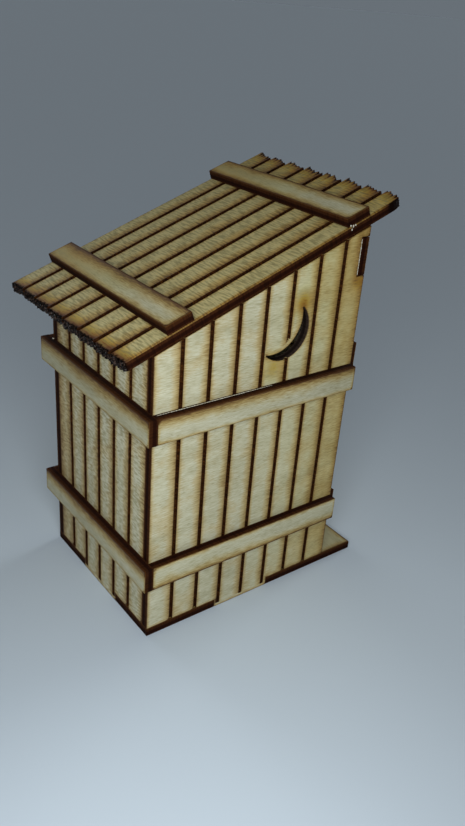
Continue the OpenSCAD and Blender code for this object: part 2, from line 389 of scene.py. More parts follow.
@dataclass(frozen=True)
class BrassWire(Mottled):
    """Drawn brass wire, 1 mm thick, which gives the eye a warm shine with fine draw marks along it."""

    name: str = "drawn_brass_wire"
    roughness: float = 0.3
    rough_span: Pair | None = (0.2, 0.45)
    ramp: Stops = ((0.35, "#a98238"), (0.65, "#d8b566"))
    # Draw marks are about 0.02 mm wide; drawn at 0.12 mm so that they show
    patch: Three = (0.12, 0.12, 3.0)
    ground: Ground = Ground.OBJECT

    def paint(self, tree: NodeTree) -> dict:
        """Makes the streaks metal."""
        return {**super().paint(tree), "Metallic": 1.0}


@dataclass(frozen=True)
class WhiteGlue(Mottled):
    """Dried white wood glue, which gives the eye a milky, slightly clear bead with a soft gloss."""

    name: str = "dried_white_glue"
    roughness: float = 0.28
    ior: float = 1.47
    ramp: Stops = ((0.35, "#ada284"), (0.65, "#d6d1c0"))
    patch: Three = (0.5, 0.5, 0.5)
    ground: Ground = Ground.OBJECT
    clearness: float = 0.2
    depth: Three = (0.4, 0.4, 0.3)

    def paint(self, tree: NodeTree) -> dict:
        """Lets light into the cloudy bead."""
        inside = tuple(length * MM for length in self.depth)
        return {**super().paint(tree), "Subsurface Weight": self.clearness, "Subsurface Radius": inside}


@dataclass(frozen=True)
class StudioPaper(Finish):
    """Matt pale paper under the object."""

    name: str = "studio_paper"
    roughness: float = 1.0
    ior: float = 1.02
    tone: str = "#c3cdd4"

    def paint(self, tree: NodeTree) -> dict:
        """Gives the paper's plain colour."""
        return {"Base Color": linear(self.tone)}


class Facing(Enum):
    """Which way a board's show face looks, with the ways its u and v run and the way it looks."""

    LEFT = ((0, -1, 0), (0, 0, 1), (-1, 0, 0))
    RIGHT = ((0, -1, 0), (0, 0, 1), (1, 0, 0))
    BACK = ((-1, 0, 0), (0, 0, 1), (0, 1, 0))
    FRONT = ((1, 0, 0), (0, 0, 1), (0, -1, 0))
    UP = ((1, 0, 0), (0, 1, 0), (0, 0, 1))


class Form(Enum):
    """What a piece is, as the last word of its name."""

    PLANKS = "planks"
    STRIP = "strip"
    SHEET = "sheet"
    BOARD = "board"
    TAB = "tab"
    WIRE = "wire"


@dataclass(frozen=True)
class Plane:
    """Where a board's show face lies: an origin, the ways of u and v, and the way the face looks."""

    origin: Array
    along_u: Array
    along_v: Array
    out: Array

    @classmethod
    def on(cls, facing: Facing, height: float) -> Plane:
        """Lays a show face at a height from the part's origin, along the way it looks."""
        u, v, out = (np.array(way, float) for way in facing.value)
        return cls(out * height, u, v, out)

    @property
    def mirrored(self) -> bool:
        """True where u, v and the way out make a left-handed set."""
        return float(np.dot(np.cross(self.along_u, self.along_v), self.out)) < 0

    def place(self, u: Array, v: Array, depth: Array) -> Array:
        """Turns board coordinates to metres in the part's frame: origin + u + v, less depth along the way out."""
        spots = self.origin + np.outer(u, self.along_u) + np.outer(v, self.along_v) - np.outer(depth, self.out)
        return spots * MM


@dataclass(frozen=True)
class RoundHole:
    """A round hole through a board."""

    u: float
    v: float
    radius: float

    def inside(self, u: Array, v: Array) -> Array:
        """True for points within the circle."""
        return np.hypot(u - self.u, v - self.v) < self.radius

    def rim(self, u: Array, v: Array) -> tuple[Array, Array]:
        """Moves points along their radius to the circle."""
        away = np.maximum(np.hypot(u - self.u, v - self.v), TINY)
        return self.u + (u - self.u) * self.radius / away, self.v + (v - self.v) * self.radius / away

    def fine(self, margin: float, step: float) -> tuple[Three, ...]:
        """Gives the stretches of u and of v round the hole that need finer lines: from, to and step."""
        return tuple((at - self.radius - margin, at + self.radius + margin, step) for at in (self.u, self.v))


@dataclass(frozen=True)
class MoonHole:
    """A crescent through a board: a disc less a larger disc that is shifted from it."""

    disc: RoundHole
    bite: RoundHole

    def inside(self, u: Array, v: Array) -> Array:
        """True for points in the disc and outside the bite."""
        return self.disc.inside(u, v) & ~self.bite.inside(u, v)

    def rim(self, u: Array, v: Array) -> tuple[Array, Array]:
        """Moves points to the nearer of the two arcs, or to the tip that bounds that arc.

        Args:
            u: millimetres across the board.
            v: millimetres up the board.

        Returns:
            The u and v of the points on the crescent's outline.
        """
        outer, inner = self.disc.rim(u, v), self.bite.rim(u, v)
        pick = np.hypot(outer[0] - u, outer[1] - v) <= np.hypot(inner[0] - u, inner[1] - v)
        on_u, on_v = (np.where(pick, outer[k], inner[k]) for k in (0, 1))
        tips = self.tips()
        apart = np.stack([np.hypot(u - tip[0], v - tip[1]) for tip in tips])
        nearest = tips[np.argmin(apart, axis=0)]
        past = np.where(pick, self.bite.inside(on_u, on_v), ~self.disc.inside(on_u, on_v))
        past &= np.min(apart, axis=0) < self.disc.radius
        return np.where(past, nearest[..., 0], on_u), np.where(past, nearest[..., 1], on_v)

    def tips(self) -> Array:
        """Works out the two points of the moon, where its circles cross.

        Returns:
            A row of u and v for each point.
        """
        du, dv = self.bite.u - self.disc.u, self.bite.v - self.disc.v
        apart = math.hypot(du, dv)
        along = (apart ** 2 + self.disc.radius ** 2 - self.bite.radius ** 2) / (2 * apart)
        half = math.sqrt(self.disc.radius ** 2 - along ** 2)
        mid = np.array((self.disc.u + du / apart * along, self.disc.v + dv / apart * along))
        return mid + np.outer((-1, 1), (-dv / apart * half, du / apart * half))


@dataclass(frozen=True)
class Grooves:
    """Plank lines engraved into a show face: their places across the board and their section."""

    places: tuple[float, ...] = ()
    width: float = 0.8
    depth: float = 0.5
    slope: float = 0.1
    # Depth at the sides of the floor, as a share of that in the middle
    floor: float = 0.88
    end_v: float = -FAR_OFF
    stop: MoonHole | None = None

    def runs(self, u: Array, v: Array) -> Array:
        """True where the grooves are cut: above their end, and short of the moon."""
        cut = v > self.end_v
        return cut & ~self.stop.inside(u, v) if self.stop else cut

    def breaks(self) -> list[float]:
        """Lists the u of the shoulders, floor corners and middle of each groove."""
        half = self.width / 2
        return [g + s for g in self.places for s in (-half, self.slope - half, 0.0, half - self.slope, half)]

    def sink(self, u: Array, v: Array) -> Array:
        """Works out the depth of the show face: steep sides, then a floor that is deepest in the middle.

        Args:
            u: millimetres across the board.
            v: millimetres up the board.

        Returns:
            Depth below the face in millimetres.
        """
        off = np.min(np.abs(u[..., None] - np.array((*self.places, FAR_OFF))), axis=-1)
        half = self.width / 2
        depth = np.interp(off, (0.0, half - self.slope, half), (self.depth, self.depth * self.floor, 0.0))
        return np.where(self.runs(u, v), depth, 0.0)


def lines(breaks: list[float], step: float = STEP, fine: list[Three] | tuple[Three, ...] = ()) -> Array:
    """Divides the gaps between break lines evenly.

    Args:
        breaks: places that have to have a line.
        step: widest gap allowed.
        fine: stretches with a finer gap, as from, to and gap; their ends have lines too.

    Returns:
        All line places in rising order.
    """
    ends = [end for stretch in fine for end in stretch[:2]]
    stops = sorted({round(float(place), 4) for place in [*breaks, *ends]})
    cuts = []
    for low, high in zip(stops, stops[1:]):
        gap = min([step] + [finer for a, b, finer in fine if low < b and high > a])
        cuts.append(np.linspace(low, high, max(1, math.ceil((high - low) / gap - TINY)), endpoint=False))
    return np.concatenate([*cuts, stops[-1:]])


def grid(across: list[float], upward: list[float], holes: tuple[RoundHole, ...] = (), margin: float = 0.6,
         step: float = 0.3) -> list[Array]:
    """Lays lines over a board both ways, finer round its holes.

    Args:
        across: places across the board that have to have a line.
        upward: places up the board that have to have a line.
        holes: round holes through the board.
        margin: how far round a hole the lines are fine.
        step: gap of the fine lines.

    Returns:
        The u and v of the grid's nodes.
    """
    fine = [hole.fine(margin, step) for hole in holes]
    ways = (lines(breaks, STEP, [pair[k] for pair in fine]) for k, breaks in enumerate((across, upward)))
    return np.meshgrid(*ways, indexing="ij")


def corners_of(cells: Array) -> Array:
    """Marks the grid nodes that touch any marked cell."""
    pad = np.pad(cells, 1)
    return pad[1:, 1:] | pad[:-1, 1:] | pad[1:, :-1] | pad[:-1, :-1]


def middle(nodes: Array) -> Array:
    """Averages the four nodes of each cell."""
    return (nodes[1:, 1:] + nodes[:-1, 1:] + nodes[1:, :-1] + nodes[:-1, :-1]) / 4


def cells_of(number: Array) -> Array:
    """Lists the four node numbers of each cell of a grid, going round it."""
    return np.stack([number[:-1, :-1], number[1:, :-1], number[1:, 1:], number[:-1, 1:]], axis=-1)


def stand(name: str, data: ID) -> Object:
    """Makes an object at the origin and links it to the scene.

    Args:
        name: the object's name.
        data: its mesh, light or camera.

    Returns:
        The object.
    """
    made = bpy.data.objects.new(name, data)
    bpy.context.scene.collection.objects.link(made)
    return made


def mesh_object(name: str, points: Array, quads: Array, materials: tuple[Material, ...],
                kinds: Array | None = None, smooth: bool = False) -> Object:
    """Puts points and four-sided faces into a new object at the origin.

    Args:
        name: the piece's name.
        points: metres, one row each.
        quads: four point numbers a face, seen anticlockwise from outside.
        materials: the piece's finishes.
        kinds: number of each face's finish.
        smooth: whether the faces shade smoothly.

    Returns:
        The object, linked to the scene.
    """
    mesh = bpy.data.meshes.new(name)
    mesh.vertices.add(len(points))
    mesh.vertices.foreach_set("co", points.astype(np.float32).ravel())
    mesh.loops.add(quads.size)
    mesh.loops.foreach_set("vertex_index", quads.astype(np.int32).ravel())
    mesh.polygons.add(len(quads))
    mesh.polygons.foreach_set("loop_start", np.arange(0, quads.size, 4, dtype=np.int32))
    for material in materials:
        mesh.materials.append(material)
    if kinds is not None:
        mesh.polygons.foreach_set("material_index", kinds.astype(np.int32))
    mesh.update(calc_edges=True)
    mesh.validate()
    if smooth:
        mesh.shade_smooth()
    else:
        mesh.shade_flat()
    return stand(name, mesh)


def turned(radius: Array, height: Array, sides: int = 32) -> tuple[Array, Array]:
    """Turns a profile round the Z axis and caps its two end rings.

    Args:
        radius: radius at each station.
        height: height of each station, rising.
        sides: points round each ring, an even number.

    Returns:
        Points by station and side, and four-sided faces.
    """
    angle = np.linspace(0, 2 * math.pi, sides, endpoint=False)
    points = np.stack([np.outer(radius, np.cos(angle)), np.outer(radius, np.sin(angle)),
                       np.repeat(height[:, None], sides, axis=1)], axis=-1)
    number = np.arange(len(radius) * sides).reshape(-1, sides)
    a, b = number[:-1], np.roll(number, -1, axis=1)[:-1]
    half = np.arange(sides // 2 - 1)
    caps = [np.stack([ring[half], ring[half + 1], ring[sides - 2 - half], ring[sides - 1 - half]], axis=1)
            for ring in (number[0, ::-1], number[-1])]
    return points, np.concatenate([np.stack([a, b, b + sides, a + sides], axis=-1).reshape(-1, 4), *caps])


def settle(piece: Object, body: str, node: str = "") -> None:
    """Makes a piece ride on its body, and stand for a CAD node where it has one.

    Args:
        piece: the piece.
        body: the CAD body it rides on.
        node: the CAD node that it stands for.
    """
    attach(piece, body)
    if node:
        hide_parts(node)
    log.info("%s: %d faces on %s", piece.name, len(piece.data.polygons), body)


class Kind(IntEnum):
    """What a face of a board is, as the number of its finish."""

    FACE = 0
    GROOVE = 1
    EDGE = 2
    BORE = 3
    CRUST = 4


class WoodSet(NamedTuple):
    """The finishes of a cut board, in the order of their face numbers."""

    face: Material
    groove: Material
    edge: Material
    bore: Material
    crust: Material


@dataclass
class Board:
    """One piece cut from the sheet.

    A grid of u and v covers the outline, the cells that are wood are kept, the show face sinks into the grooves,
    and every open side of a kept cell gets a wall of rings through the thickness with a small burnt-off arris.
    """

    node: str
    form: Form
    plane: Plane
    u: Array
    v: Array
    keep: Array | None = None
    grain: Pair = (1.0, 0.0)
    grooves: Grooves = Grooves()
    holes: tuple[RoundHole | MoonHole, ...] = ()
    # How far smoke spreads from edges that face -u, +u, -v and +v: 1.2 is heavy, and less is also fainter
    smoke: Four = (0.9, 0.9, 0.9, 0.9)
    # The same at the sides of planks that face -u and +u along a groove, where it differs from the outline
    line_smoke: Pair | None = None
    heavy: float = 1.2
    thickness: float = PLY
    arris: float | Array = 0.07
    under_arris: float = 0.07
    rings: int = 4
    # How rough the walls are at each node; where they are rougher than the limit they are charcoal
    crumble: float | Array = 0.02
    crust_from: float = 0.14
    # How far charcoal is worn back at the show face and below
    crust_wear: Pair = (1.2, 0.6)
    burn: float | Array = 0.0
    # Painted shade where the light falls off, laid on as smoke: the share by which it brings the edges' smoke
    # nearer to each point, and the farthest it brings
    falloff_shade: Array | None = None
    falloff_shade_reach: float = 2.4
    longest_mitre: float = 1.5
    # Waves of a rough wall's lumps in radians a millimetre, along the rim and through the sheet; how far and how
    # often the first drifts along the rim; and what share of the roughness chance and lumps have
    lump_waves: tuple[Pair, Pair] = ((8.9, 3.1), (-2.3, 7.7))
    lump_drift: Pair = (1.9, 2.7)
    lump_share: float = 0.6
    # Shift of the finish's pattern for each step of the seed
    pattern_shift: Pair = (31.7, 17.3)
    seed: int = 1

    @classmethod
    def over(cls, node: str, form: Form, facing: Facing, seed: int, **fields: object) -> Board:
        """Lays out a rectangular board where its CAD node is.

        Args:
            node: the CAD node.
            form: what the piece is.
            facing: the way its show face looks.
            seed: number that its chance marks start from.
            fields: the board's other fields.

        Returns:
            The board.
        """
        low, high = (np.array(corner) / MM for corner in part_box(node))
        across, upward, (back, face) = (sorted((float(low @ way), float(high @ way)))
                                        for way in np.array(facing.value, float))
        grooves, holes = fields.get("grooves", Grooves()), fields.get("holes", ())
        u, v = grid([*across, *grooves.breaks()], upward, holes)
        return cls(node, form, Plane.on(facing, face), u, v, thickness=face - back, seed=seed, **fields)

    def __post_init__(self) -> None:
        """Keeps every cell where no outline is given."""
        if self.keep is None:
            self.keep = np.ones((self.u.shape[0] - 1, self.u.shape[1] - 1), bool)

    def cut_holes(self) -> Array:
        """Drops the cells inside each hole and moves the nodes round it to the hole's rim.

        Returns:
            True for each node on a rim.
        """
        bored = np.zeros(self.u.shape, bool)
        for hole in self.holes:
            inside = hole.inside(middle(self.u), middle(self.v))
            rim = corners_of(inside) & corners_of(~inside)
            bored |= rim
            on_u, on_v = hole.rim(self.u, self.v)
            self.u, self.v = np.where(rim, on_u, self.u), np.where(rim, on_v, self.v)
            self.keep = self.keep & ~inside
        # Where only two corners of kept cells touch, both cells of that row go
        for _ in range(4):
            a, b, c, d = (self.keep[:-1, :-1], self.keep[1:, :-1], self.keep[:-1, 1:], self.keep[1:, 1:])
            touch = (a & d & ~b & ~c) | (b & c & ~a & ~d)
            self.keep[:-1, :-1] &= ~touch
            self.keep[1:, :-1] &= ~touch
        return bored

    def outline(self, number: Array, flat: Array) -> tuple[Array, ...]:
        """Finds the sides of kept cells that have no kept neighbour, going anticlockwise round the wood.

        A node's mitre is the sum of its sides' outward ways, as long as it takes to move both out by 1 mm, up to a
        limit.

        Args:
            number: the number of each grid node in use.
            flat: u and v of those nodes.

        Returns:
            The numbers of each side's start and end nodes, the sides' outward ways and the nodes' mitres.
        """
        pad = np.pad(self.keep, 1)
        corners = ((0, 0), (1, 0), (1, 1), (0, 1), (0, 0))
        beyond = (pad[1:-1, :-2], pad[2:, 1:-1], pad[1:-1, 2:], pad[:-2, 1:-1])
        sides = []
        for other, start, end in zip(beyond, corners, corners[1:]):
            i, j = np.nonzero(self.keep & ~other)
            sides.append([number[i + start[0], j + start[1]], number[i + end[0], j + end[1]]])
        start, end = np.concatenate(sides, axis=1)
        way = flat[end] - flat[start]
        normals = np.stack([way[:, 1], -way[:, 0]], axis=1)
        normals /= np.maximum(np.linalg.norm(normals, axis=1, keepdims=True), 1e-9)
        mitre = np.zeros(flat.shape)
        np.add.at(mitre, start, normals)
        np.add.at(mitre, end, normals)
        mitre *= 2 / np.maximum(np.sum(mitre ** 2, axis=1, keepdims=True), TINY)
        mitre /= np.maximum(np.linalg.norm(mitre, axis=1, keepdims=True) / self.longest_mitre, 1.0)
        return start, end, normals, mitre

    def wall_rings(self, spots: Array, mitre: Array, rough: Array, first: Array) -> tuple[Array, Array]:
        """Shapes the rings of points that the walls have through the sheet.

        The walls bulge where they are rough: each ring is pushed in by the roughness times chance, lumps that are
        the product of two sines along the rim and through the sheet, and a rounding towards the show face.

        Args:
            spots: u and v of the rim's nodes.
            mitre: their mitres.
            rough: their roughness.
            first: depth of the first ring there.

        Returns:
            The u and v of each ring's points, and their depths.
        """
        share = np.linspace(0.0, 1.0, self.rings)[:, None]
        depth = first + share * (self.thickness - self.under_arris - first)
        rounded = 1.0 - np.sin(math.pi * np.minimum(share, 0.6))
        along = spots.sum(axis=1)
        drift = (self.lump_drift[0] * np.sin(self.lump_drift[1] * along), 0.0)
        lumps = math.prod(np.sin(rate * along + deep * depth + shift)
                          for (rate, deep), shift in zip(self.lump_waves, drift))
        chance = np.random.default_rng(self.seed).random(depth.shape)
        push = -rough * (self.lump_share * (chance + 1.0 + lumps) + rounded)
        return spots + push[..., None] * mitre, depth

    def edge_distance(self, spots: Array, starts: Array, ends: Array, normals: Array) -> Array:
        """Measures how far points lie from the nearest outline edge, and from its smoke.

        The distance to an edge is the distance to the nearest point of its segment. Smoke is that distance divided
        by the edge's smoke width, plus what the width lacks of heavy. The width blends the four of the board by the
        square of how far the edge faces each way.

        Args:
            spots: u and v of the points.
            starts: first points of the edges.
            ends: second points of the edges.
            normals: outward ways of the edges.

        Returns:
            A row of distances in millimetres and a row of smoke numbers.
        """
        toward = np.stack([-normals[:, 0], normals[:, 0], -normals[:, 1], normals[:, 1]], axis=1)
        width = np.sum(np.maximum(toward, 0.0) ** 2 * np.array(self.smoke), axis=1).astype(np.float32)
        spots, starts, ways = (a.astype(np.float32) for a in (spots, starts, ends - starts))
        square = np.maximum(np.sum(ways ** 2, axis=1), 1e-9)
        best = np.empty((2, len(spots)), np.float32)
        # In parts, so that the table of points and edges stays small
        for part in np.array_split(np.arange(len(spots)), max(1, len(spots) * len(starts) // TABLE)):
            off_u, off_v = (spots[part, None, k] - starts[None, :, k] for k in (0, 1))
            t = np.clip((off_u * ways[:, 0] + off_v * ways[:, 1]) / square, 0.0, 1.0)
            gap = np.hypot(off_u - t * ways[:, 0], off_v - t * ways[:, 1])
            best[0, part] = gap.min(axis=1)
            best[1, part] = (gap / width + self.heavy - width).min(axis=1)
        return best

    def groove_distance(self, spots: Array) -> Array:
        """Measures the same from the nearest groove, counted from its shoulder.

        Args:
            spots: u and v of the points.

        Returns:
            A row of distances in millimetres and a row of smoke numbers.
        """
        off = spots[:, :1] - np.array((*self.grooves.places, FAR_OFF))
        right, left = self.line_smoke or self.smoke[:2]
        width = np.where(off > 0, right, left)
        gap = np.maximum(np.abs(off) - self.grooves.width / 2, 0.0)
        best = np.stack([gap.min(axis=1), (gap / width + self.heavy - width).min(axis=1)])
        return np.where(self.grooves.runs(spots[:, 0], spots[:, 1]), best, FAR_OFF)

    def build(self, wood: WoodSet) -> Object:
        """Makes the board's mesh with its finishes and the coordinates that they read.

        Points are the show face's nodes, the underside's and the walls' rings, in that order.

        Args:
            wood: the finishes.

        Returns:
            The board's object.
        """
        bored = self.cut_holes()
        used = corners_of(self.keep)
        count = int(used.sum())
        number = np.full(used.shape, -1)
        number[used] = np.arange(count)
        flat = np.stack([self.u[used], self.v[used]], axis=1)
        top = self.grooves.sink(self.u, self.v)[used]
        rough, arris, burn = (
            np.broadcast_to(values, used.shape)[used] for values in (self.crumble, self.arris, self.burn))

        start, end, normals, mitre = self.outline(number, flat)
        rim = np.unique(np.concatenate([start, end]))
        place_on_rim = np.full(count, -1)
        place_on_rim[rim] = np.arange(len(rim))
        crust = np.where(rough > self.crust_from, rough, 0.0)
        face_uv = flat - mitre * (arris + self.crust_wear[0] * crust)[:, None]
        under_uv = flat - mitre * (self.under_arris + self.crust_wear[1] * crust)[:, None]
        ring_uv, ring_depth = self.wall_rings(flat[rim], mitre[rim], rough[rim], (top + arris)[rim])
        u, v = np.concatenate([face_uv, under_uv, ring_uv.reshape(-1, 2)]).T
        depth = np.concatenate([top, np.full(count, self.thickness), ring_depth.ravel()])

        cells = cells_of(number)[self.keep]
        in_groove = (self.grooves.sink(middle(self.u), middle(self.v)) > 0)[self.keep]
        rows = 2 * count + np.arange(self.rings)[:, None] * len(rim)
        starts, ends = (np.vstack([at, rows + place_on_rim[at], count + at]) for at in (start, end))
        walls = np.stack([starts[:-1], starts[1:], ends[1:], ends[:-1]], axis=-1).reshape(-1, 4)
        quads = np.concatenate([cells, cells[:, ::-1] + count, walls])
        wall = np.where(bored[used][start] & bored[used][end], Kind.BORE, Kind.EDGE)
        crusty = np.minimum(rough[start], rough[end]) > self.crust_from
        wall[crusty] = Kind.CRUST
        kinds = np.concatenate([
            np.where(in_groove, Kind.GROOVE, Kind.FACE), np.full(len(cells), Kind.FACE),
            np.where(crusty, Kind.CRUST, Kind.FACE), np.tile(wall, self.rings)])
        if self.plane.mirrored:
            quads = quads[:, ::-1]
        name = f"{self.node}_{self.form.value}"
        made = mesh_object(name, self.plane.place(u, v, depth), quads, wood, kinds)

        hidden = self.edge_distance(flat, flat[start], flat[end], normals)
        near, smoke = np.minimum(hidden, self.groove_distance(flat))
        # Painted shade where the light falls off deepens the smoke
        if self.falloff_shade is not None:
            smoke = np.minimum(smoke, self.falloff_shade_reach) * (1.0 - self.falloff_shade[used])
        edge_smoke, edge_burn = (np.tile(values[rim], self.rings) for values in (hidden[1], burn))
        along_grain, across_grain = self.grain
        shift_u, shift_v = (self.seed * shift for shift in self.pattern_shift)
        board = np.stack([u * along_grain + v * across_grain + shift_u,
                          v * along_grain - u * across_grain + shift_v, depth], axis=1)
        marks = made.data.attributes
        for name, values in (("cut_mm", (near, hidden[0], 0 * edge_smoke)),
                             ("smoke", (smoke, hidden[1], edge_smoke)), ("burn", (burn, 0 * burn, edge_burn))):
            marks.new(name, "FLOAT", "POINT").data.foreach_set("value", np.concatenate(values).astype(np.float32))
        marks.new("sheet_mm", "FLOAT_VECTOR", "POINT").data.foreach_set("vector", board.astype(np.float32).ravel())
        return made

    def dress(self, wood: WoodSet, body: str, slot: str) -> None:
        """Builds the board and settles it on its body in place of its CAD node."""
        settle(self.build(wood), body, self.node)


@dataclass(frozen=True)
class Plan:
    """Sizes that the walls, the base plate and the roof share."""

    width: float = 40.6
    length: float = 49.4
    back_h: float = 64.0
    pitch: float = math.radians(20.2)
    tab: float = 14.6
    leg_tab: float = 3.6
    door_half: float = 12.2
    # Room round a tab in its slot
    play: float = 0.08

    @property
    def inner(self) -> float:
        """Half of the width between the side walls."""
        return self.width / 2 - PLY

    @property
    def leg(self) -> float:
        """Distance of the front wall's leg tabs from the middle."""
        return (self.door_half + self.inner) / 2

    def leg_sides(self, play: float = 0.0) -> list[float]:
        """Lists the sides of the two leg tabs, or of their slots where there is play."""
        half = self.leg_tab / 2 + play
        return [side * (self.leg + edge * half) for side in (-1, 1) for edge in (-1, 1)]

    def roof_at(self, along: float | Array) -> float | Array:
        """Gives the height of the roof's underside at a place along the hut, from its middle to the front."""
        return self.back_h + math.tan(self.pitch) * (along + self.length / 2)


@dataclass
class Walls:
    """The four plank walls: two sides with sloped tops and moons, the back, and the front with its doorway."""

    plan: Plan
    wood: WoodSet
    back_wood: WoodSet
    side_planks: int = 8
    side_short: float = 0.3
    end_planks: int = 6
    back_short: float = 0.4
    back_line: float = 0.9
    top_tab: Pair = (72.14, 79.94)
    roof_gap: float = 0.1
    groove_end: float = 0.8
    groove_run: float = 0.15
    door_top: float = 51.2
    # Height up to which a side's rows are level, and the gap between its rows
    level: float = 55.0
    row: float = 0.28
    moon_at: Pair = (4.9, 63.4)
    moon_r: float = 6.1
    bite_r: float = 7.1
    bite_shift: float = 3.8
    bite_angle: float = math.radians(47.0)
    # How far short of the moon the grooves stop; how far round it lines are fine, and their gap
    moon_margin: float = 0.9
    moon_fine: Pair = (0.5, 0.26)
    # Smoke marks by the moon's points: u, v, size and strength
    smudges: tuple[Four, ...] = ((9.0, 68.8, 2.1, 0.66), (2.8, 56.2, 2.6, 0.55), (23.6, 70.8, 1.7, 0.4))
    # A side is darker and more amber towards the front and the top, partly toast and partly painted shade where the
    # light falls off; its front planks and the back's far end have painted shade there, laid on as smoke
    toast_and_shade_along: Curve = ((-2.0, 24.0), (0.0, 1.0))
    toast_and_shade_up: Curve = ((55.0, 75.0), (0.2, 0.36))
    side_falloff_shade: Curve = ((9.0, 22.0), (0.0, 0.4))
    back_falloff_shade: Curve = ((-14.0, -5.0), (0.3, 0.0))

    def moon(self) -> MoonHole:
        """Lays out the crescent: the bite is shifted towards the back and up.

        Returns:
            The hole.
        """
        u, v = self.moon_at
        bite = RoundHole(u - self.bite_shift * math.sin(self.bite_angle),
                         v + self.bite_shift * math.cos(self.bite_angle), self.bite_r)
        return MoonHole(RoundHole(u, v, self.moon_r), bite)

    def side(self, node: str, facing: Facing, seed: int) -> Board:
        """Lays out a side wall, with u from the back to the front.

        Rows are level up to below the moon and at the notch, and lean towards the roof's slope between them.

        Args:
            node: the CAD node.
            facing: the side it is on.
            seed: number that its chance marks start from.

        Returns:
            The board.
        """
        plan, level = self.plan, self.level
        front, tab, moon = plan.length / 2, plan.tab / 2, self.moon()
        notch = front - PLY - plan.play
        low, high = self.top_tab[0] - plan.play, self.top_tab[1] + plan.play
        plank = (plan.length + self.side_short) / self.side_planks
        places = tuple(front - plank * k for k in range(1, self.side_planks))
        stop = MoonHole(*(replace(disc, radius=disc.radius - self.moon_margin) for disc in (moon.disc, moon.bite)))
        grooves = Grooves(places, end_v=self.groove_end, stop=stop)
        fine = moon.disc.fine(*self.moon_fine)[:1]
        across = lines(grooves.breaks() + [-front, front, notch, -tab, tab], fine=fine)
        top_front, top_notch, top = plan.roof_at(front), plan.roof_at(notch), plan.roof_at(across)
        upward = lines([0.0, self.groove_end, self.groove_end + self.groove_run, level, low, top_front],
                       fine=[(PLY, high, self.row)])
        above = upward - high
        squeezed = np.where(above > 0, high + above * (top_notch - high) / (top_front - high), upward)
        scale = (np.minimum(top, top_notch) - level) / (top_notch - level)
        v = np.where(squeezed > level, level + (squeezed - level) * scale[:, None], squeezed)
        stretched = high + above * ((top - high) / (top_front - high))[:, None]
        v = np.where((above > 0) & (across > notch)[:, None], stretched, v)
        u = np.repeat(across[:, None], len(upward), axis=1)
        mid_u, mid_v = middle(u), middle(v)
        keep = (mid_v > PLY) | (np.abs(mid_u) < tab)
        keep &= ~((mid_u > notch) & (mid_v > low) & (mid_v < high))
        burn = sum(amount * np.exp(-((u - at_u) ** 2 + (v - at_v) ** 2) / size ** 2)
                   for at_u, at_v, size, amount in self.smudges)
        # Toast towards the front and the top, partly painted shade where the light falls off
        burn += np.interp(u, *self.toast_and_shade_along) * np.interp(v, *self.toast_and_shade_up)
        # The front planks get painted shade where the light falls off, laid on as smoke
        return Board(node, Form.PLANKS, Plane.on(facing, plan.width / 2), u, v, keep, grooves=grooves,
                     holes=(moon,), smoke=(0.55, 0.95, 0.6, 0.15), burn=burn, falloff_shade=np.interp(u, *self.side_falloff_shade),
                     seed=seed)

    def back(self) -> Board:
        """Lays out the back wall between the side walls.

        Returns:
            The board.
        """
        half, tab = self.plan.inner, self.plan.tab / 2
        grooves = Grooves(self.end_lines(self.back_short), width=self.back_line, end_v=self.groove_end)
        u, v = grid(grooves.breaks() + [-half, half, -tab, tab], [
            0.0, self.groove_end, self.groove_end + self.groove_run, PLY, self.plan.back_h - self.roof_gap])
        keep = (middle(v) > PLY) | (np.abs(middle(u)) < tab)
        # The far end gets painted shade where the light falls off, laid on as smoke
        return Board("back_wall", Form.PLANKS, Plane.on(Facing.BACK, self.plan.length / 2), u, v, keep,
                     grooves=grooves, smoke=(1.2, 1.05, 0.6, 1.2), line_smoke=(0.7, 1.05),
                     falloff_shade=np.interp(u, *self.back_falloff_shade), seed=3)

    def front(self) -> Board:
        """Lays out the front wall with its doorway, top tabs and leg tabs.

        Returns:
            The board.
        """
        plan, (tab_low, tab_high) = self.plan, self.top_tab
        half, inner, door = plan.width / 2, plan.inner, plan.door_half
        grooves = Grooves(self.end_lines(0.0))
        u, v = grid(grooves.breaks() + plan.leg_sides() + [-half, half, -inner, inner, -door, door], [
            0.0, PLY, self.door_top, tab_low, tab_high, plan.roof_at(plan.length / 2 - PLY) - self.roof_gap])
        mid_u, mid_v = np.abs(middle(u)), middle(v)
        keep = (mid_u < inner) & (mid_v > PLY)
        keep |= (mid_v > tab_low) & (mid_v < tab_high)
        keep |= (np.abs(mid_u - plan.leg) < plan.leg_tab / 2) & (mid_v < PLY)
        keep &= ~((mid_u < door) & (mid_v < self.door_top))
        return Board("front_wall", Form.PLANKS, Plane.on(Facing.FRONT, plan.length / 2), u, v, keep,
                     grooves=grooves, smoke=(0.6, 1.0, 0.6, 0.9), seed=4)

    def end_lines(self, short: float) -> tuple[float, ...]:
        """Lists the plank lines of an end wall from its middle; its outer planks are narrower by a length."""
        plank = 2 * (self.plan.inner + short) / self.end_planks
        return tuple((k - self.end_planks / 2) * plank for k in range(1, self.end_planks))

    def build(self) -> None:
        """Builds the four walls on the hut."""
        for board, wood in ((self.side("left_wall", Facing.LEFT, 1), self.wood),
                            (self.side("right_wall", Facing.RIGHT, 2), self.wood),
                            (self.back(), self.back_wood), (self.front(), self.wood)):
            board.dress(wood, "hut", "plank_ply")


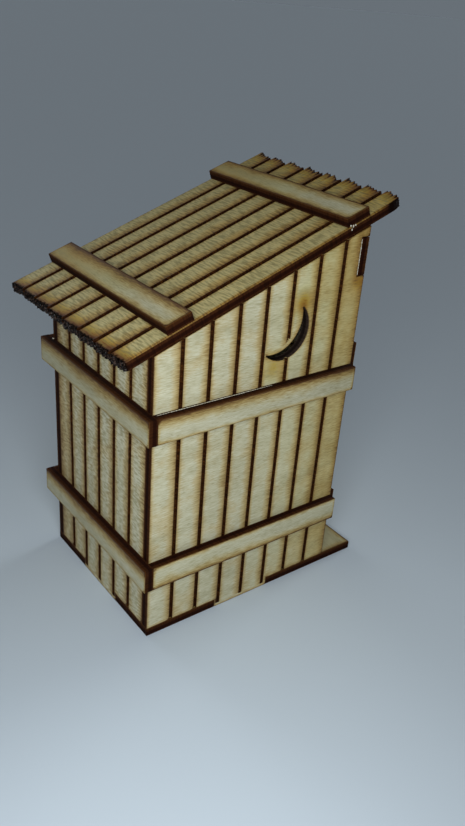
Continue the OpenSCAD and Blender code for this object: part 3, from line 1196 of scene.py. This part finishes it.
@dataclass
class Bands:
    """The glued battens round the hut, most of a dull sheet, one of a dimmer one and some of a pale one."""

    wood: WoodSet
    dim_wood: WoodSet
    pale_wood: WoodSet
    # The strips were cut alike, so a strip glued on upside down has its heavy smoke at the bottom
    upright: Four = (0.35, 0.6, 0.6, 1.28)
    behind: Four = (0.35, 0.45, 0.5, 1.42)
    flipped: Four = (0.4, 0.45, 1.12, 0.6)
    # Each name begins with the wall that the strip is on
    nodes: tuple[str, ...] = (
        "left_lower_batten", "left_upper_batten", "right_lower_batten", "right_upper_batten", "back_lower_batten",
        "back_upper_batten", "front_left_batten", "front_right_batten", "front_header_batten")
    upside_down: tuple[str, ...] = ("left_lower_batten", "right_upper_batten", "front_right_batten")
    dimmest: tuple[str, ...] = ("back_upper_batten",)
    first_seed: int = 20

    def build(self) -> None:
        """Builds each batten where its CAD node is."""
        for seed, node in enumerate(self.nodes, self.first_seed):
            facing = Facing[node.split("_")[0].upper()]
            smoke = self.behind if facing is Facing.BACK else self.upright
            wood = self.dim_wood if node in self.dimmest else self.wood
            if node in self.upside_down:
                smoke, wood = self.flipped, self.pale_wood
            Board.over(node, Form.STRIP, facing, seed, smoke=smoke).dress(wood, "hut", "batten_ply")


@dataclass
class Floor:
    """The base plate with its tab slots, and the bench inside."""

    plan: Plan
    wood: WoodSet
    doorstep: float = 9.2
    pin: RoundHole = RoundHole(-10.338, -23.7, 0.55)
    seat_hole: RoundHole = RoundHole(0.0, 14.2, 4.5)
    # Painted shade over the whole plate, laid on as toast
    shade_veil: float = 0.14

    def plate(self) -> Board:
        """Lays out the base plate: notches for the wall tabs, slots for the front's legs and the pin's hole.

        Returns:
            The board.
        """
        plan, play = self.plan, self.plan.play
        half_w, half_d, deep = plan.width / 2, plan.length / 2, PLY + play
        notch, slot = plan.tab / 2 + play, plan.leg_tab / 2 + play
        slot_low, slot_high = (self.pin.v + side * (PLY / 2 + play) for side in (-1, 1))
        sides = [side * edge for side in (-1, 1) for edge in (half_w, half_w - deep, notch)]
        u, v = grid(sides + plan.leg_sides(play), [
            -half_d - self.doorstep, half_d, half_d - deep, -notch, notch, slot_low, slot_high],
            (self.pin,), margin=0.35, step=0.18)
        mid_u, mid_v = np.abs(middle(u)), middle(v)
        keep = ~((mid_u > half_w - deep) & (np.abs(mid_v) < notch))
        keep &= ~((mid_u < notch) & (mid_v > half_d - deep))
        keep &= ~((np.abs(mid_u - plan.leg) < slot) & (mid_v > slot_low) & (mid_v < slot_high))
        # Its burn is painted shade, laid on as toast
        return Board("base_plate", Form.SHEET, Plane.on(Facing.UP, PLY), u, v, keep, holes=(self.pin,),
                     burn=self.shade_veil, seed=40)

    def build(self) -> None:
        """Builds the plate, the bench's seat and its front board."""
        for board in (self.plate(), Board.over("bench_seat", Form.BOARD, Facing.UP, 41, holes=(self.seat_hole,)),
                      Board.over("bench_front", Form.BOARD, Facing.FRONT, 42)):
            board.dress(self.wood, "hut", "base_ply")


@dataclass
class Door:
    """The plank door with its ledges, brace and pull, and the two wire pins it turns on."""

    wood: WoodSet
    brass: Material
    plank_lines: tuple[float, ...] = (-6.1, 0.0, 6.1)
    brace_w: float = 5.4
    pull_taper: float = 0.42
    pull_curve: float = 2.5
    pin_round: float = 0.22
    pin_tip: float = 0.02
    smoke: Four = (0.8, 1.1, 0.9, 0.9)

    def brace(self) -> Board:
        """Lays out the brace: a strip whose ends are cut level, so each row is shifted along the slope.

        Returns:
            The board.
        """
        board = Board.over("door_brace", Form.STRIP, Facing.FRONT, 53, smoke=self.smoke)
        left, wide = board.u.min(), np.ptp(board.u)
        foot, tall = board.v.min(), np.ptp(board.v)
        lean = wide - self.brace_w
        board.u = left + (board.u - left) / wide * self.brace_w + (board.v - foot) / tall * lean
        board.grain = (lean / math.hypot(lean, tall), tall / math.hypot(lean, tall))
        return board

    def pull(self) -> Board:
        """Lays out the pull: a tab that narrows in a curve towards its outer end.

        Returns:
            The board.
        """
        board = Board.over("door_pull", Form.TAB, Facing.LEFT, 54, smoke=self.smoke, grain=(0.0, 1.0))
        out = (board.u - board.u.min()) / np.ptp(board.u)
        mid = (board.v.max() + board.v.min()) / 2
        board.v = mid + (board.v - mid) * (1 - self.pull_taper * out ** self.pull_curve)
        return board

    def pin(self, node: str) -> Object:
        """Turns a pin: its radius runs from nothing over a rounded end to the wire's, and back at the other end.

        Args:
            node: the CAD node of the pin.

        Returns:
            The pin.
        """
        low, high = (np.array(corner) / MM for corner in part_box(node))
        centre, radius = (low + high) / 2, (high[0] - low[0]) / 2
        turn = np.linspace(0, math.pi / 2, 6)
        ends = radius - self.pin_round + self.pin_round * np.sin(turn)
        lift = self.pin_round * (1 - np.cos(turn))
        points, quads = turned(
            np.concatenate([[self.pin_tip], ends, ends[::-1], [self.pin_tip]]),
            np.concatenate([[low[2]], low[2] + lift, high[2] - lift[::-1], [high[2]]]))
        points[..., :2] += centre[:2]
        name = f"{node}_{Form.WIRE.value}"
        return mesh_object(name, points.reshape(-1, 3) * MM, quads, (self.brass,), smooth=True)

    def build(self) -> None:
        """Builds the door's pieces on the door's body."""
        leaf = Board.over("door_leaf", Form.PLANKS, Facing.FRONT, 50, smoke=self.smoke,
                          grooves=Grooves(self.plank_lines))
        leaf.dress(self.wood, "door", "plank_ply")
        ledges = (Board.over(node, Form.STRIP, Facing.FRONT, seed, smoke=self.smoke)
                  for node, seed in (("door_lower_ledge", 51), ("door_upper_ledge", 52)))
        for board in (*ledges, self.brace(), self.pull()):
            board.dress(self.wood, "door", "batten_ply")
        for node in ("door_top_pin", "door_bottom_pin"):
            settle(self.pin(node), "door", node)


@dataclass
class Roof:
    """The sloping plank roof with ragged, burnt ends, and its two battens."""

    plan: Plan
    wood: WoodSet
    strips: WoodSet
    middle_x: float = 3.1
    width: float = 46.2
    length: float = 69.0
    low_end: float = 6.1815
    planks: int = 8
    end_short: float = 0.6
    line_w: float = 1.0
    line_shift: float = -0.1
    teeth: int = 5
    tooth_depth: float = 0.9
    # A tooth's peak lies between two shares of its width; both bites are shares of its depth
    peak_place: Pair = (0.3, 0.7)
    peak_bite: Pair = (0.0, 0.4)
    valley_bite: Pair = (0.55, 1.0)
    low_slant: float = 0.4
    high_slant: float = 1.4
    batten_w: float = 5.8
    batten_inset: float = 10.0
    batten_step: float = 0.7
    # How much darker and more amber the battens get, rising across the roof from -X to +X
    batten_veil: Curve = ((-12.0, 4.0, 16.0), (0.05, 0.25, 0.42))
    nibble: float = 0.12
    # Roughness of the panel's sides, its low end, its high end and the burnt corner there
    side_crumb: float = 0.03
    low_crumb: float = 0.26
    high_crumb: float = 0.04
    corner_crumb: float = 0.12
    arris: float = 0.28
    tip_arris: float = 0.08
    # Teeth as they look once burnt: blunter at the low end, deeper at the high end
    low_depth: float = 0.75
    high_depth: float = 1.5
    # The low end's charcoal swells past the line that the solids have
    swell: float = 0.55
    corner: float = 1.2
    # How much of the panel at each end takes up the ragged line, and its rows as shares of that
    end_zone: float = 4.2
    end_rows: tuple[float, ...] = (0.0, 0.09, 0.2, 0.34, 0.52, 0.75)
    column: float = 0.24
    row: float = 0.9
    # Tooth points get lines at these steps, unless a groove's line is nearer than the limit
    tooth_step: float = 0.1
    tooth_clear: float = 0.09
    nibble_seed: int = 77
    # Toast down the slope, and char by the distance from the low end, the high end and the burnt corner
    toast: Curve = ((-57.0, -52.0, -48.0, -10.0, 2.0), (0.5, 0.45, 0.36, 0.34, 0.3))
    low_char: Curve = ((-0.1, 0.5, 0.9, 1.7, 2.7, 4.6), (1.9, 1.12, 0.98, 0.8, 0.56, 0.2))
    high_char: Curve = ((0.0, 0.4, 0.8, 1.6, 2.6, 4.6), (1.1, 0.86, 0.8, 0.74, 0.62, 0.3))
    corner_char: Curve = ((0.0, 1.0, 2.0, 3.4), (1.5, 1.2, 0.9, 0.5))
    # Strength and reach of the char in the valleys between the high end's teeth
    valley_char: Pair = (0.7, 0.7)

    def plane(self, height: float) -> Plane:
        """Lays a plane on the slope at a height above the roof's underside, with v running down it.

        Args:
            height: millimetres above the roof's underside.

        Returns:
            The plane.
        """
        s, c = math.sin(self.plan.pitch), math.cos(self.plan.pitch)
        origin, out = np.array((self.middle_x, self.plan.length / 2, self.plan.back_h)), np.array((0.0, s, c))
        return Plane(origin + out * height, np.array((1.0, 0, 0)), np.array((0, c, -s)), out)

    def ragged(self, k: Array, seed: int) -> Array:
        """Gives each tooth a repeatable number from 0 to 1: the fraction of a large multiple of a sine."""
        wave = np.sin(np.radians(k * 127.1 + seed * 311.7)) * 43.7585
        return wave - np.floor(wave)

    def edges(self) -> Array:
        """Lists the sides of the planks: even ones in the middle, and two narrower ones at each side.

        Returns:
            Places across the roof.
        """
        wide = (self.width + 6 * self.end_short) / self.planks
        short = np.full(self.planks + 1, 3.0)
        short[[0, 1, -2, -1]] = (0.0, 2.0, 4.0, 6.0)
        return -self.width / 2 + np.arange(self.planks + 1) * wide - self.end_short * short

    def end_line(self, seed: int, slant: float, deep: float) -> tuple[Array, Array]:
        """Lays out one ragged end as the solids have it: valleys and peaks, cut back more at each plank's left.

        Args:
            seed: number of the series.
            slant: how far each plank's left side is cut back.
            deep: depth of the deepest valley.

        Returns:
            Places across the roof, and how far the end is burnt back there.
        """
        edges = self.edges()
        plank, tooth = (row.ravel() for row in np.indices((self.planks, self.teeth)))
        k = plank * self.teeth + tooth
        valley, place, peak = (least + (most - least) * self.ragged(k, seed + step) for step, (least, most)
                               in enumerate((self.valley_bite, self.peak_place, self.peak_bite)))
        share = np.stack([tooth, tooth + place], axis=1) / self.teeth
        bite = np.stack([valley, peak], axis=1)
        u = edges[plank][:, None] + share * np.diff(edges)[plank][:, None]
        back = deep * bite + slant * (1 - share) + (self.tooth_depth - deep) / 2
        return np.append(u, edges[-1]), np.append(back, self.tooth_depth / 2)

    def panel(self) -> Board:
        """Lays out the panel: rows run straight across its middle and take up the ragged line near each end.

        Char is the most of what the slope, the low end, the high end and its burnt corner give at a point. In the
        valleys of the high end there is more, which falls off by a power of e.

        Returns:
            The board.
        """
        edges = self.edges()
        grooves = Grooves(tuple(edges[1:-1] + self.line_shift), width=self.line_w)
        low_u, low_back = self.end_line(3, self.low_slant, self.low_depth)
        high_u, high_back = self.end_line(8, self.high_slant, self.high_depth)
        firm = np.array(grooves.breaks() + [edges[0], edges[-1]])
        loose = np.concatenate([low_u, high_u])
        loose = loose[np.min(np.abs(loose[:, None] - firm), axis=1) > self.tooth_clear]
        across = lines([*firm, *np.round(loose / self.tooth_step) * self.tooth_step], self.column)
        share = np.interp(across, edges, np.arange(len(edges))) % 1.0

        nibble = self.nibble * np.random.default_rng(self.nibble_seed).random((2, len(across)))
        worn = np.interp(across, high_u, high_back)
        into = np.clip(1.0 - (across - edges[0]) / self.corner, 0.0, 1.0)
        low = self.low_end + self.swell - np.interp(across, low_u, low_back) - nibble[0]
        high = self.low_end - self.length + worn + nibble[1]
        high += self.corner * (1.0 - np.sqrt(1.0 - into ** 2))
        rows = lines([self.low_end - self.length + self.end_zone, self.low_end - self.end_zone], self.row)
        near = np.array(self.end_rows)
        v = np.concatenate([high[:, None] + near * (rows[0] - high)[:, None],
                            np.broadcast_to(rows, (len(across), len(rows))),
                            low[:, None] + near[::-1] * (rows[-1] - low)[:, None]], axis=1)
        u = np.repeat(across[:, None], v.shape[1], axis=1)

        crumble, arris = np.full(v.shape, self.side_crumb), np.full(v.shape, self.arris)
        crumble[:, -1], crumble[:, 0] = self.low_crumb, np.where(into > 0, self.corner_crumb, self.high_crumb)
        arris[:, 0] = self.tip_arris
        from_low = (low.mean() + self.low_slant * (share - 0.5))[:, None] - v
        from_high = v - high[:, None]
        valley = worn - self.high_slant * (1 - share) - (self.tooth_depth - self.high_depth) / 2
        valley = np.clip(valley / self.high_depth, 0.0, 1.0) * (into == 0)
        burn = np.maximum(np.interp(v, *self.toast), np.interp(from_low, *self.low_char))
        burn = np.maximum(burn, np.interp(from_high, *self.high_char))
        burn += self.valley_char[0] * (valley ** 2)[:, None] * np.exp(-from_high / self.valley_char[1])
        burn = np.maximum(burn, np.sqrt(into)[:, None] * np.interp(from_high, *self.corner_char))
        return Board("roof_panel", Form.PLANKS, self.plane(PLY), u, v, grooves=grooves, smoke=(0.5, 0.35, 0.6, 0.6),
                     line_smoke=(1.1, 0.35), arris=arris, rings=9, crumble=crumble, burn=burn, seed=60)

    def batten(self, node: str, upper: float, smoke: Four, seed: int) -> Board:
        """Lays out a batten across the roof.

        Args:
            node: the CAD node.
            upper: v of its uphill edge.
            smoke: smoke widths at its four edges.
            seed: number that its chance marks start from.

        Returns:
            The board.
        """
        u, v = np.meshgrid(lines([-self.width / 2, self.width / 2]),
                           lines([upper, upper + self.batten_w], self.batten_step), indexing="ij")
        return Board(node, Form.STRIP, self.plane(2 * PLY), u, v, smoke=smoke, burn=np.interp(u, *self.batten_veil),
                     seed=seed)

    def build(self) -> None:
        """Builds the panel and both battens on the roof's body."""
        self.panel().dress(self.wood, "roof", "plank_ply")
        low = self.low_end - self.batten_inset - self.batten_w
        high = self.low_end - self.length + self.batten_inset
        for board in (self.batten("roof_low_batten", low, (0.9, 0.4, 1.5, 0.9), 61),
                      self.batten("roof_high_batten", high, (0.8, 0.4, 1.15, 1.1), 62)):
            board.dress(self.strips, "roof", "batten_ply")


class Lie(Enum):
    """The way that a bead of glue runs, as which of its own axes lie along the part's X, Y and Z."""

    UPRIGHT = (0, 1, 2)
    ALONG_WALL = (1, 2, 0)


@dataclass(frozen=True)
class Bead:
    """One bead of glue: its middle, its radius, half its length and the way it runs."""

    middle: Three
    radius: float
    half: float
    lie: Lie = Lie.UPRIGHT
    lumps: float = 0.5

    def shell(self, seed: int) -> tuple[Array, Array]:
        """Shapes the bead: an ellipsoid whose radius swells and shrinks in waves round it and along it.

        A bead that is longer than 2 mm is a run of glue, with blunter ends and more rings.

        Args:
            seed: number that shifts the waves.

        Returns:
            Points in millimetres and faces.
        """
        run = self.half > 1.0
        turn = np.linspace(0.03, math.pi - 0.03, 16 + int(24 * self.half) * run)
        points, quads = turned(self.radius * np.sin(turn) ** (0.4 if run else 1.0), -self.half * np.cos(turn), 16)
        angle, along = np.arctan2(points[..., 1], points[..., 0]), points[..., 2]
        waves = np.sin(3 * angle + seed) * np.sin(along * 5 + 2 * seed) + np.sin(along * 11 + seed)
        points[..., :2] *= (1 + self.lumps * waves / 2)[..., None]
        return points.reshape(-1, 3)[:, list(self.lie.value)] + np.array(self.middle), quads


@dataclass
class Glue:
    """White glue that squeezed out of a few joints and dried there as small beads."""

    glue: Material
    beads: dict[str, tuple[Bead, ...]] = field(default_factory=lambda: {
        "hut": (Bead((19.6, 25.0, 52.6), 0.2, 0.16),
                Bead((-20.28, -22.62, 76.0), 0.075, 3.7),
                Bead((-20.8, 10.8, 52.57), 0.08, 13.4, Lie.ALONG_WALL)),
        "roof": (Bead((-20.1, -19.11, 82.56), 0.17, 0.2),
                 Bead((-20.1, -19.8, 82.45), 0.13, 0.3),
                 Bead((-20.1, -20.4, 82.65), 0.13, 0.2),
                 Bead((-20.1, -19.55, 81.8), 0.11, 0.24))})

    def build(self) -> None:
        """Builds the beads of each body as one piece."""
        for body, beads in self.beads.items():
            points, quads = zip(*(bead.shell(number) for number, bead in enumerate(beads)))
            starts = np.cumsum([0] + [len(shell) for shell in points[:-1]])
            quads = np.concatenate([faces + start for faces, start in zip(quads, starts)])
            points = np.concatenate(points) * MM
            settle(mesh_object(f"{body}_glue_beads", points, quads, (self.glue,), smooth=True), body)


class LampKind(Enum):
    """Kinds of lamp: a soft square near the object, or a broad light from far off."""

    SQUARE = "AREA"
    FAR = "SUN"


@dataclass(frozen=True)
class Lamp:
    """A soft lamp that looks at the middle of the object.

    Its size is the length of its side in metres, or the angle that a far one fills. Its power is in watts, or in
    watts a square metre for a far one.
    """

    name: str
    kind: LampKind
    spot: Three
    size: float
    power: float
    tint: str = "#f4faff"
    aim: Three = (0.0, 0.0, 0.04)

    def hang(self) -> None:
        """Makes the lamp and turns it to the object."""
        data = bpy.data.lights.new(self.name, self.kind.value)
        data.energy, data.color = self.power, linear(self.tint)[:3]
        if self.kind is LampKind.FAR:
            data.angle = self.size
        else:
            data.shape, data.size = "SQUARE", self.size
        made = stand(self.name, data)
        made.location, made.visible_camera = self.spot, False
        made.rotation_euler = (Vector(self.aim) - Vector(self.spot)).to_track_quat("-Z", "Y").to_euler()


@dataclass
class Studio:
    """Pale paper, soft lamps and the camera at the photograph's viewing angle."""

    paper: Material
    reach: float = 20.0
    below: float = 0.00002
    # A soft key beside the camera, and broad fills on the front and the right side
    lamps: tuple[Lamp, ...] = (
        Lamp("key", LampKind.SQUARE, (-0.116, 0.082, 0.1), 0.07, 0.185),
        Lamp("front_fill", LampKind.FAR, (0.5, -3.9, 0.9), 0.4, 1.4),
        Lamp("right_fill", LampKind.FAR, (3.9, 0.5, 0.7), 0.4, 1.0))
    sky: str = "#e6ebf2"
    backdrop: str = "#687077"
    sky_strength: float = 0.15
    # Where the fit to the photograph puts the camera, and the ways that its frame lies
    eye: Three = (-127.56, 92.51, 120.15)
    right: Three = (-0.5944, -0.8009, 0.0719)
    up: Three = (0.4103, -0.2252, 0.8837)
    forward: Three = (0.6916, -0.5548, -0.4625)
    focal_px: float = 797.73
    frame_px: tuple[int, int] = (465, 826)
    sensor: float = 36.0
    clip: Pair = (0.005, 50.0)

    def floor(self) -> None:
        """Lays the paper as a flat grid under the object."""
        span = np.linspace(-self.reach, self.reach, 3)
        x, y = np.meshgrid(span, span, indexing="ij")
        points = np.stack([x, y, np.full(x.shape, -self.below)], axis=-1).reshape(-1, 3)
        quads = cells_of(np.arange(x.size).reshape(x.shape)).reshape(-1, 4)
        mesh_object("paper", points, quads, (self.paper,))

    def world(self) -> None:
        """Sets an even sky, and a plain backdrop for what the camera sees straight, in gloss or through glass."""
        world = bpy.data.worlds.new("soft_sky")
        bpy.context.scene.world = world
        world.use_nodes = True
        tree = world.node_tree
        tree.nodes.clear()
        glow = add(tree, "Background", {"Color": linear(self.sky), "Strength": self.sky_strength})
        seen = add(tree, "Background", {"Color": linear(self.backdrop), "Strength": 1.0})
        path = add(tree, "LightPath").outputs
        direct = add(tree, "Math", (path["Is Camera Ray"], path["Is Glossy Ray"]), operation="ADD")
        plain = add(tree, "Math", (direct, path["Is Transmission Ray"]), operation="ADD", use_clamp=True)
        add(tree, "OutputWorld", {"Surface": add(tree, "MixShader", (plain, glow, seen))})

    def camera(self) -> None:
        """Stands the camera where the fit to the photograph puts it."""
        data = bpy.data.cameras.new("photo_camera")
        data.sensor_width, (data.clip_start, data.clip_end) = self.sensor, self.clip
        data.lens = self.focal_px / max(self.frame_px) * self.sensor
        made = stand("photo_camera", data)
        ways = [Vector(self.right), Vector(self.up), -Vector(self.forward)]
        made.matrix_world = Matrix.Translation(Vector(self.eye) * MM) @ Matrix(ways).transposed().to_4x4()
        bpy.context.scene.camera = made

    def build(self) -> None:
        """Builds the whole set-up and the plain view transform."""
        self.floor()
        for lamp in self.lamps:
            lamp.hang()
        self.world()
        self.camera()
        bpy.context.scene.view_settings.view_transform = "Standard"


def main() -> None:
    """Loads the frame and builds every sub-assembly in order."""
    logging.basicConfig(level=logging.INFO, format="%(message)s")
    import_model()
    bore = CharredCut("sooty_plywood_bore", soot="#0b0706", singed="#54463c", veneer="#352922", core="#1c1410")
    wood = WoodSet(*(finish.material() for finish in (
        BirchFace(), EngravedGroove(), CharredCut(), bore, CharcoalCrust())))
    # Strips have a wider seared line: sear, widened to paint the thin shadow along their edges
    strip = BirchFace("birch_plywood_strip", line=0.5, stain=(
        (0.0, "#ffffff"), (1.0, "#8a6236"), (0.25, "#fef9ee"), (0.5, "#f3e0b9"), (0.75, "#cfb074"),
        (0.92, "#a37e4c")))
    dull = replace(strip, name="birch_plywood_dull_strip", tones=("#98916f", "#aea88a", "#bfbba0"))
    dim = replace(strip, name="birch_plywood_dim_strip", tones=("#8f8866", "#a49e7f", "#b4b093"))
    # The base plate and the bench take darker tones of the strip wood: painted shade
    base = replace(strip, name="birch_plywood_shaded_base_sheet", tones=("#837d60", "#979176", "#a6a289"))
    back = BirchFace("birch_plywood_back_face", fibre=(1.4, 0.42), evenness=0.09, banding=0.25)
    roof = BirchFace("birch_plywood_roof_face", tones=("#9d9672", "#bbb593", "#d2cdaf"), fibre=(2.6, 0.4),
                     evenness=0.08, banding=0.14)
    strips, dull_strips, dim_strips, shaded_base_wood, back_wood, roof_wood = (
        wood._replace(face=finish.material()) for finish in (strip, dull, dim, base, back, roof))
    plan = Plan()
    Studio(StudioPaper().material()).build()
    Walls(plan, wood, back_wood).build()
    Bands(dull_strips, dim_strips, strips).build()
    Floor(plan, shaded_base_wood).build()
    Door(wood, BrassWire().material()).build()
    Roof(plan, roof_wood, strips).build()
    Glue(WhiteGlue().material()).build()


if __name__ == "__main__":
    main()
